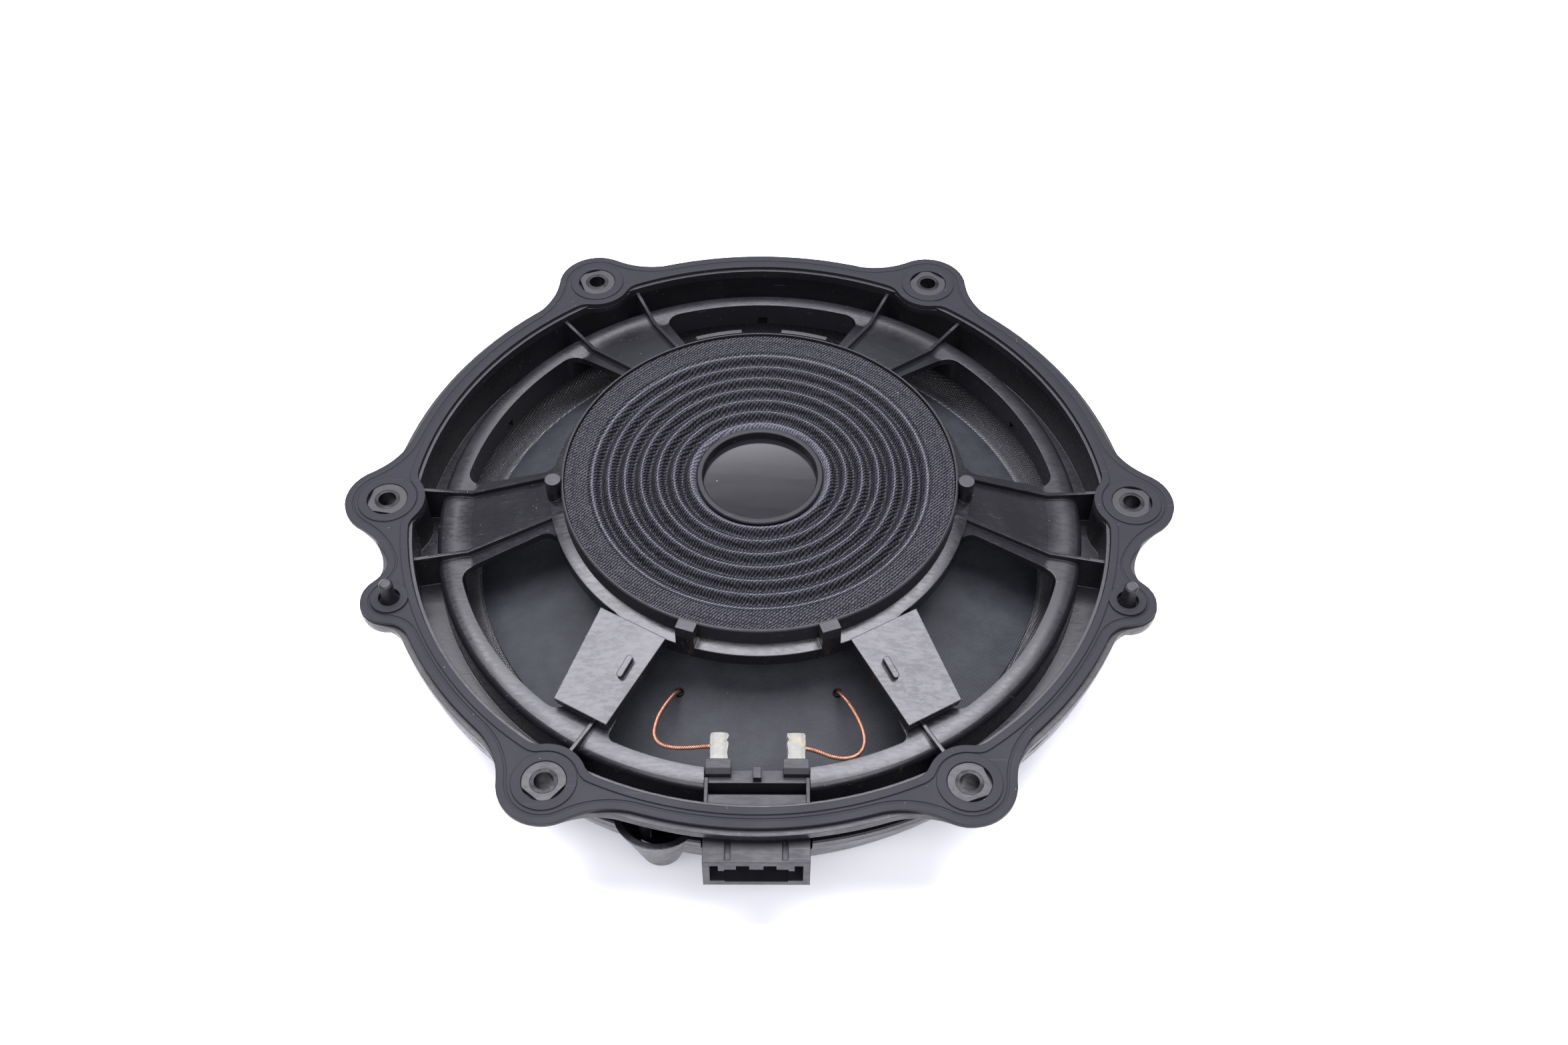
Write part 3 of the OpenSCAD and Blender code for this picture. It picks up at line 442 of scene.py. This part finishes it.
def tinned_metal():
    """Dull white tin, mottled, with brown and yellow stains."""
    m = Material("tinned_metal", Metallic=0.25)
    mottle, fine = m.noise(700, 4, 0.65), m.noise(2400, 3)
    stain = m.maths("MULTIPLY", m.between(m.noise(380, 3, 0.6), 0.52, 0.68), 0.75)
    colour = m.mix(mottle, (0.07, 0.072, 0.062, 1), (0.135, 0.136, 0.12, 1))
    colour = m.mix(stain, colour, (0.17, 0.125, 0.06, 1))
    m.set("Base Color", colour)
    m.set("Roughness", m.between(mottle, 0.3, 0.7, 0.38, 0.58))
    m.set("Normal", m.bump(m.maths("ADD", mottle, m.maths("MULTIPLY", fine, 0.4)), 0.00015, 0.6))
    return m.data


def copper(name, bright, roughness):
    """Bare copper with brown tarnish and fine bright flecks."""
    m = Material(name, Metallic=0.9)
    tarnish = m.between(m.noise(650, 4, 0.7), 0.4, 0.7)
    flecks = m.noise(6500, 2)
    colour = m.mix(tarnish, bright, (0.16, 0.07, 0.04, 1))
    m.set("Base Color", m.mix(m.between(flecks, 0.5, 0.75, 0, 0.5), colour, (0.5, 0.32, 0.25, 1)))
    m.set("Roughness", m.between(tarnish, 0, 1, roughness, roughness + 0.2))
    m.set("Normal", m.bump(flecks, 0.00003, 0.6))
    return m.data


def glue():
    """Cured adhesive: dark, uneven and slightly shiny."""
    m = Material("adhesive")
    lump = m.noise(500, 3, 0.6)
    m.set("Base Color", m.mix(lump, (0.02, 0.018, 0.015, 1), (0.09, 0.08, 0.06, 1)))
    m.set("Roughness", m.between(lump, 0.3, 0.7, 0.25, 0.5))
    m.set("Normal", m.bump(lump, 0.0003, 0.6))
    return m.data


def former_film():
    """Amber film with faint lengthwise wrinkles."""
    m = Material("former_film", Roughness=0.35)
    wrinkle = m.noise(1, 3, 0.5, m.stretched(0, (900, 900, 60)))
    m.set("Base Color", m.mix(wrinkle, (0.16, 0.08, 0.02, 1), (0.35, 0.2, 0.07, 1)))
    m.set("Normal", m.bump(wrinkle, 0.00003, 0.5))
    return m.data


# ---------- Shapes ----------


def new_mesh(name, points, faces, material):
    """A smooth object of one material."""
    mesh = bpy.data.meshes.new(name)
    mesh.from_pydata([tuple(p) for p in points], [], faces)
    mesh.update()
    mesh.polygons.foreach_set("use_smooth", [True] * len(mesh.polygons))
    mesh.materials.append(material)
    made = bpy.data.objects.new(name, mesh)
    scene.collection.objects.link(made)
    return made


def read(items, attribute, width=1, kind=float):
    """An attribute of each of a mesh's items, in rows where it has several numbers."""
    values = np.zeros(len(items) * width, kind)
    items.foreach_get(attribute, values)
    return values.reshape(-1, width) if width > 1 else values


def turned(name, profile, steps, material):
    """Turns a closed profile of (radius, height) points round Z."""
    profile = np.array(profile)
    angles = np.arange(steps) * 2 * np.pi / steps
    radius, height = profile[:, 0], profile[:, 1]
    points = np.stack([np.outer(np.cos(angles), radius), np.outer(np.sin(angles), radius),
                       np.tile(height, (steps, 1))], -1).reshape(-1, 3)
    count = len(profile)
    faces = []
    for s in range(steps):
        here, ahead = s * count, (s + 1) % steps * count
        for k in range(count):
            over = (k + 1) % count
            faces.append((here + k, ahead + k, ahead + over, here + over))
    return new_mesh(name, points, faces, material)


def blend_along(piece, measure):
    """Sets each vertex's X to its measure and bakes the piece's placement, then puts the vertices back
    where they were.
    """
    vertices = piece.data.vertices
    rest = read(vertices, "co", 3)
    line = np.zeros_like(rest)
    line[:, 0] = measure
    vertices.foreach_set("co", line.ravel())
    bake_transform(piece)
    vertices.foreach_set("co", rest.ravel())
    piece.data.update()


def radius_of(piece):
    """Distance of each vertex from the Z axis."""
    points = read(piece.data.vertices, "co", 3)
    return np.hypot(points[:, 0], points[:, 1])


# ---------- Leads ----------

# The same points as the lead's solid follows, in millimetres, from the cone to the tab
LEFT_ROUTE = [
    (-23, -61.5, -14.2), (-23.3, -62.4, -12.6), (-24.1, -64.4, -10.9), (-25.4, -67.2, -9.6),
    (-26.8, -70.3, -8.7), (-28.1, -73.7, -8.1), (-28.8, -77, -7.6), (-29, -80, -7.1),
    (-28.3, -82.5, -6.6), (-26.6, -84.4, -6.2), (-24, -85.4, -5.8), (-21, -85.9, -5.4),
    (-17.5, -85.9, -5.1), (-15, -85.8, -4.8), (-13.1, -85.8, -4.7),
]
RIGHT_ROUTE = [
    (23, -61.5, -14.2), (23.3, -62.5, -12.6), (24.2, -64.6, -10.9), (25.6, -67.6, -9.6),
    (27.4, -71.7, -8.7), (28.9, -75.8, -8.1), (29.8, -79.7, -7.5), (29.9, -83, -7),
    (29, -86, -6.5), (27, -88.1, -6.1), (24, -89, -5.7), (20.5, -88.6, -5.4),
    (17.5, -87.5, -5.1), (15.2, -86.8, -4.8), (13.2, -86.4, -4.7),
]
LEAD_DIAMETER = 1.3 * MM
LEAD_STRANDS = 4
LEAD_TWIST = 2.2 * MM  # along the lead, for one turn of its strands
LEAD_STEP = 0.12 * MM
STRAND_SIDES = 8
STRAND_FILL = 0.98  # of the radius at which neighbouring strands would touch


def smooth_line(points, per_span=10):
    """Catmull-Rom curve through the points."""
    p = np.array(points, float)
    p = np.vstack([2 * p[0] - p[1], p, 2 * p[-1] - p[-2]])
    out = []
    for i in range(1, len(p) - 2):
        for t in np.linspace(0, 1, per_span, endpoint=False):
            a, b, c, d = p[i - 1:i + 3]
            out.append(0.5 * (2 * b + (c - a) * t + (2 * a - 5 * b + 4 * c - d) * t**2
                              + (3 * b - a - 3 * c + d) * t**3))
    return np.array(out + [p[-2]])


def even_line(points, step):
    """Points at even steps along a line, and their distances from its start."""
    along = np.concatenate([[0], np.cumsum(np.linalg.norm(np.diff(points, axis=0), axis=1))])
    at = np.linspace(0, along[-1], round(along[-1] / step) + 1)
    return np.stack([np.interp(at, along, points[:, k]) for k in range(3)], 1), at


def carried_frames(line):
    """Two cross directions at each point of a line, which turn as little as possible along it."""
    tangent = np.gradient(line, axis=0)
    tangent /= np.linalg.norm(tangent, axis=1)[:, None]
    side = np.cross(tangent[0], (0, 0, 1.0))
    sides = []
    for t in tangent:
        side = side - t * (side @ t)
        side /= np.linalg.norm(side)
        sides.append(side)
    sides = np.array(sides)
    return sides, np.cross(tangent, sides)


def twisted_rope(name, route, material):
    """Strands of copper laid round each other along the route."""
    line, along = even_line(smooth_line(np.array(route) * MM), LEAD_STEP)
    side, up = carried_frames(line)
    share = math.sin(math.pi / LEAD_STRANDS)
    lay_r = LEAD_DIAMETER / 2 / (1 + share)
    strand_r = lay_r * share * STRAND_FILL
    around = STRAND_SIDES
    points, faces, measure = [], [], []
    for strand in range(LEAD_STRANDS):
        turn = 2 * np.pi * (along / LEAD_TWIST + strand / LEAD_STRANDS)
        centre = line + lay_r * (np.cos(turn)[:, None] * side + np.sin(turn)[:, None] * up)
        s, u = carried_frames(centre)
        base = len(points)
        for i, c in enumerate(centre):
            for k in range(around):
                a = 2 * math.pi * k / around
                points.append(c + strand_r * (math.cos(a) * s[i] + math.sin(a) * u[i]))
                measure.append(along[i])
        for i in range(len(centre) - 1):
            for k in range(around):
                a, b = base + i * around + k, base + i * around + (k + 1) % around
                faces.append((a, b, b + around, a + around))
        last = base + (len(centre) - 1) * around
        faces.append(tuple(base + k for k in reversed(range(around))))
        faces.append(tuple(last + k for k in range(around)))
    rope = new_mesh(name, points, faces, material)
    blend_along(rope, np.array(measure))
    return rope, line, along[-1]


def add_leads(material):
    for side, route in (("left", LEFT_ROUTE), ("right", RIGHT_ROUTE)):
        rope, line, length = twisted_rope(f"braided_lead_{side}", route, material)
        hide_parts(f"tinsel_lead_{side}")


# ---------- Spider and surround ----------

# The rest of the spider, as its CAD solid has it, and steps in radius that are fine over the corrugations
CREST_Z, WAVE_DEPTH, NECK_Z = 12.2, 2.0, 10.5
NECK_IN_R, NECK_OUT_R, BORDER_IN_R = 19.06, 19.4, 52.4
DIP_R, DIP_WIDTH, DIP_DEPTH = 56.3, 0.9, 0.3
CLOTH_T = 0.45
WAVE_STEP, BORDER_STEP = 0.18, 0.4
RIM_ROUND = 0.12


def spider_top(r, rim_z):
    """Height of the spider's upper face at a radius."""
    if r < CREST_IN_R:
        rise = max(0.0, (r - NECK_OUT_R) / (CREST_IN_R - NECK_OUT_R))
        return NECK_Z + (CREST_Z - NECK_Z) * math.sin(math.pi / 2 * rise)
    if r < CREST_OUT_R:
        phase = 2 * math.pi * WAVES * (r - CREST_IN_R) / (CREST_OUT_R - CREST_IN_R)
        return CREST_Z - WAVE_DEPTH * ((1 - math.cos(phase)) / 2) ** 1.5
    rise = min(1.0, (r - CREST_OUT_R) / (BORDER_IN_R - CREST_OUT_R))
    dip = DIP_DEPTH * math.exp(-((r - DIP_R) / DIP_WIDTH) ** 2)
    return CREST_Z + (rim_z - CREST_Z) * (3 - 2 * rise) * rise * rise - dip


def add_spider(material):
    """Corrugated cloth with a flat border and a rounded rim; its under side has a third of the points."""
    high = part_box("spider")[1]
    outer_r, rim_z = high.x / MM, high.z / MM
    radii = np.concatenate([
        np.arange(NECK_IN_R, BORDER_IN_R, WAVE_STEP),
        np.arange(BORDER_IN_R, outer_r - BORDER_STEP / 2, BORDER_STEP),
        [outer_r - RIM_ROUND, outer_r],
    ])
    top = [(r, spider_top(r, rim_z)) for r in radii]
    top[-1] = (outer_r, rim_z - RIM_ROUND)
    bottom = [(r, z - CLOTH_T) for r, z in top]
    profile = np.array(bottom[::3] + [bottom[-1]] + top[::-1]) * MM
    spider = turned("woven_spider", profile, 360, material)
    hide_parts("spider")
    blend_along(spider, radius_of(spider))


# Half roll of the surround, and the top of its lap under the cone's edge as (radius, height) points
ROLL_IN_R, ROLL_OUT_R, ROLL_Z, ROLL_T = 88.1, 102.1, -22.2, 0.85
ROLL_POINTS = 37
CONE_LAP = [(84.6, -22.27), (86.2, -22.84), (87.6, -23.35)]

# How far the corner between the roll and the rim is eased: on top in radius and height, below in radius
EASE_R, EASE_Z, EASE_BELOW = 0.1, 0.5, 0.02


def add_surround(material):
    """Half roll with a lap under the cone's edge and a flat rim in the clamp."""
    low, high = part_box("surround")
    top_z, bottom_z, outer_r = high.z / MM, low.z / MM, high.x / MM
    mid, half = (ROLL_IN_R + ROLL_OUT_R) / 2, (ROLL_OUT_R - ROLL_IN_R) / 2
    depth = ROLL_Z - bottom_z
    turns = np.radians(np.linspace(180, 360, ROLL_POINTS))
    inside = [(mid + (half - ROLL_T) * math.cos(t), ROLL_Z + (depth - ROLL_T) * math.sin(t)) for t in turns]
    outside = [(mid + half * math.cos(t), ROLL_Z + depth * math.sin(t)) for t in turns]
    rim = [(ROLL_OUT_R - ROLL_T + EASE_R, top_z - EASE_Z), (ROLL_OUT_R, top_z), (outer_r, top_z)]
    # The roll's first points give way to the lap
    upper = CONE_LAP + inside[2:] + rim
    lower = [(outer_r, top_z - ROLL_T), (ROLL_OUT_R + EASE_BELOW, top_z - ROLL_T)] + outside[::-1][:-3]
    lower += [(r, z - ROLL_T) for r, z in CONE_LAP[::-1]]
    surround = turned("half_roll_surround", np.array(upper + lower) * MM, 240, material)
    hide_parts("surround")
    blend_along(surround, radius_of(surround))


# ---------- Terminal tabs ----------

# Outline of a tab, in millimetres: Y, its half width towards X = 0, which is notched, and away from there
TAB_EDGE = [
    (-94.2, 2.45, 2.45), (-90.6, 2.45, 2.45), (-89.6, 2.4, 2.35), (-88.3, 2.2, 2.3), (-86.9, 2.25, 2.4),
    (-85.3, 2.5, 2.45), (-84.5, 2.45, 2.5), (-84.0, 2.05, 2.5), (-83.6, 2.0, 2.45), (-83.2, 2.3, 2.45),
    (-82.7, 2.5, 2.5), (-82.1, 2.5, 2.45), (-81.75, 2.25, 2.2),
]
SOLDER_FROM_Y, SOLDER_DOME = -90, 0.22
EDGE_DROP = 0.12
TAB_BEVEL, TAB_BEVEL_ANGLE = 0.15 * MM, math.radians(50)


def add_tab(side, material):
    """Tab with a notch, and a skin of solder that domes it."""
    name = "left" if side < 0 else "right"
    low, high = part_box(f"terminal_tab_{name}")
    centre_x = (low.x + high.x) / 2 / MM
    across = np.linspace(-1, 1, 9)
    base_z, top_z = low.z / MM, high.z / MM
    points = []
    for y, inner, outer in TAB_EDGE:
        solder = 0.0 if y < SOLDER_FROM_Y else SOLDER_DOME
        for u in across:
            reach = outer if u > 0 else inner
            dome = solder * (1 - u**2) ** 0.6 - EDGE_DROP * u**4
            points.append((centre_x + side * u * reach, y, top_z + dome))
    count = len(points)
    points += [(x, y, base_z) for x, y, _ in points]
    wide, long = len(across), len(TAB_EDGE)
    faces = []
    for j in range(long - 1):
        for i in range(wide - 1):
            a = j * wide + i
            quad = (a, a + 1, a + wide + 1, a + wide)
            faces += [quad, tuple(count + v for v in reversed(quad))]
    rim = [j * wide for j in range(long)] + [(long - 1) * wide + i for i in range(1, wide)]
    rim += [j * wide + wide - 1 for j in range(long - 2, -1, -1)] + [i for i in range(wide - 2, 0, -1)]
    for a, b in zip(rim, rim[1:] + rim[:1]):
        faces.append((b, a, count + a, count + b))
    if side < 0:
        faces = [tuple(reversed(f)) for f in faces]
    points = [Vector(p) * MM for p in points]
    tab = new_mesh(f"solder_tab_{name}", points, faces, material)
    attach(tab, "frame")
    bevel = tab.modifiers.new("rounded", "BEVEL")
    bevel.width, bevel.segments, bevel.angle_limit = TAB_BEVEL, 2, TAB_BEVEL_ANGLE
    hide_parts(f"terminal_tab_{name}")


# ---------- CAD nodes ----------

WELD = 2e-6  # metres within which corners count as one place
SHARP_ANGLE = 32  # degrees past which an edge stays sharp


def smooth_normals(node):
    """Shades a CAD node's curved faces smooth and keeps its sharp edges, without moving a vertex."""
    mesh = node.data
    faces = mesh.polygons
    grid = np.round(read(mesh.vertices, "co", 3) / WELD).astype(np.int64)
    _, place = np.unique(grid, axis=0, return_inverse=True)
    spot = place.ravel()[read(mesh.loops, "vertex_index", kind=np.int64)]
    face_of = np.repeat(np.arange(len(faces)), read(faces, "loop_total", kind=np.int64))
    normal, area = read(faces, "normal", 3), read(faces, "area")
    order = np.argsort(spot, kind="stable")
    starts = np.flatnonzero(np.diff(np.concatenate([[-1], spot[order]])))
    near = math.cos(math.radians(SHARP_ANGLE))
    out = np.zeros((len(spot), 3))
    for a, b in zip(starts, np.append(starts[1:], len(order))):
        corners = order[a:b]
        n = normal[face_of[corners]]
        weight = (n @ n.T > near) * area[face_of[corners]][None, :]
        out[corners] = weight @ n
    lost = np.linalg.norm(out, axis=1) < 1e-12
    out[lost] = normal[face_of[lost]]
    out /= np.linalg.norm(out, axis=1)[:, None]
    faces.foreach_set("use_smooth", [True] * len(faces))
    mesh.normals_split_custom_set(out.tolist())


# Nodes whose plastic is duller than the basket's
SATIN_NODES = ("connector_housing", "spider_ring")


def dress_cad_nodes(materials):
    """Gives each node the material of its slot in the record, with smooth shading."""
    slots = {part["node"]: part["material_slot"] for part in frame["record"]["subparts"]}
    for name, node in frame["nodes"].items():
        node.data.materials.clear()
        node.data.materials.append(materials["satin_plastic" if name in SATIN_NODES else slots[name]])
        smooth_normals(node)


# ---------- The scene ----------

add_camera()
add_leads(copper("braid_copper", (0.28, 0.135, 0.09, 1), 0.36))
add_studio()
materials = {
    "frame_plastic": moulded_plastic("frame_plastic", 0.0035, 0.006, 0.25, 0.38, polished=True),
    "satin_plastic": moulded_plastic("satin_plastic", 0.005, 0.0075, 0.48, 0.3),
    "cap_plastic": moulded_plastic("cap_plastic", 0.003, 0.005, 0.36, 0.2, dust=0.02),
    "gasket_rubber": gasket_rubber(),
    "sleeve_steel": plated_steel(
        "sleeve_steel", (0.012, 0.012, 0.0125, 1), (0.03, 0.0295, 0.029, 1), 0.5, wear=0.12),
    "spider_cloth": spider_cloth(),
    "surround_cloth": surround_cloth(),
    "cone_paper": cone_paper(),
    "cap_gloss": gloss_disc(),
    "tinned_metal": tinned_metal(),
    "copper": copper("coil_copper", (0.72, 0.40, 0.26, 1), 0.3),
    "yoke_steel": plated_steel("yoke_steel", (0.42, 0.42, 0.44, 1), (0.60, 0.60, 0.63, 1), 0.36),
    "magnet_nickel": plated_steel("magnet_nickel", (0.58, 0.56, 0.53, 1), (0.72, 0.71, 0.69, 1), 0.2),
    "adhesive": glue(),
    "former_film": former_film(),
}
dress_cad_nodes(materials)
add_spider(materials["spider_cloth"])
add_surround(materials["surround_cloth"])
for tab_side in (-1, 1):
    add_tab(tab_side, materials["tinned_metal"])
